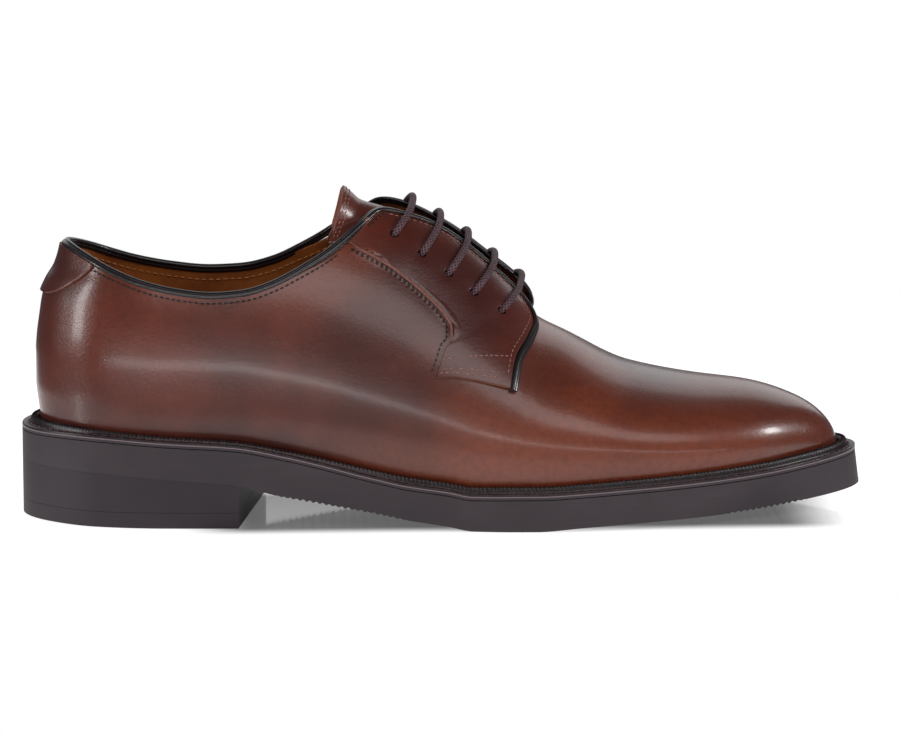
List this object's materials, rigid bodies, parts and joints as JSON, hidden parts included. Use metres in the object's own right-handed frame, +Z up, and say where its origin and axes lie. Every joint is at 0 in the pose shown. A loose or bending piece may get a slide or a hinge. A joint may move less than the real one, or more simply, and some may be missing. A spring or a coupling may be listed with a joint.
{
  "type": "derby shoe",
  "caption": "Plain laced derby shoe in burnished leather with open facings, bound topline, storm welt and a stacked rubber sole and heel.",
  "frame": {"origin": "on the floor, under the middle of the sole's bounding box", "axes": "+X to the toe, +Y to the inner (medial) side of the foot, +Z up"},
  "size_m": [0.3066, 0.1, 0.1171],
  "materials": {
    "upper_leather": "burnished, glossy",
    "welt_leather": "waxed, dark",
    "binding_leather": "smooth, dark",
    "insole_leather": "natural, matt",
    "sole_rubber": "matt",
    "lace": "waxed cotton"
  },
  "bodies": {
    "root": {"outsole": "sole_rubber", "heel_block": "sole_rubber", "heel_top_piece": "sole_rubber", "welt": "welt_leather", "insole": "insole_leather", "upper": "upper_leather", "facing_lateral": "upper_leather", "facing_medial": "upper_leather", "heel_tab": "upper_leather", "tongue": "upper_leather", "binding": "binding_leather", "lace_bar_1": "lace", "lace_bar_2": "lace", "lace_bar_3": "lace", "lace_bar_4": "lace", "lace_bar_5": "lace"}
  },
  "joints": []
}
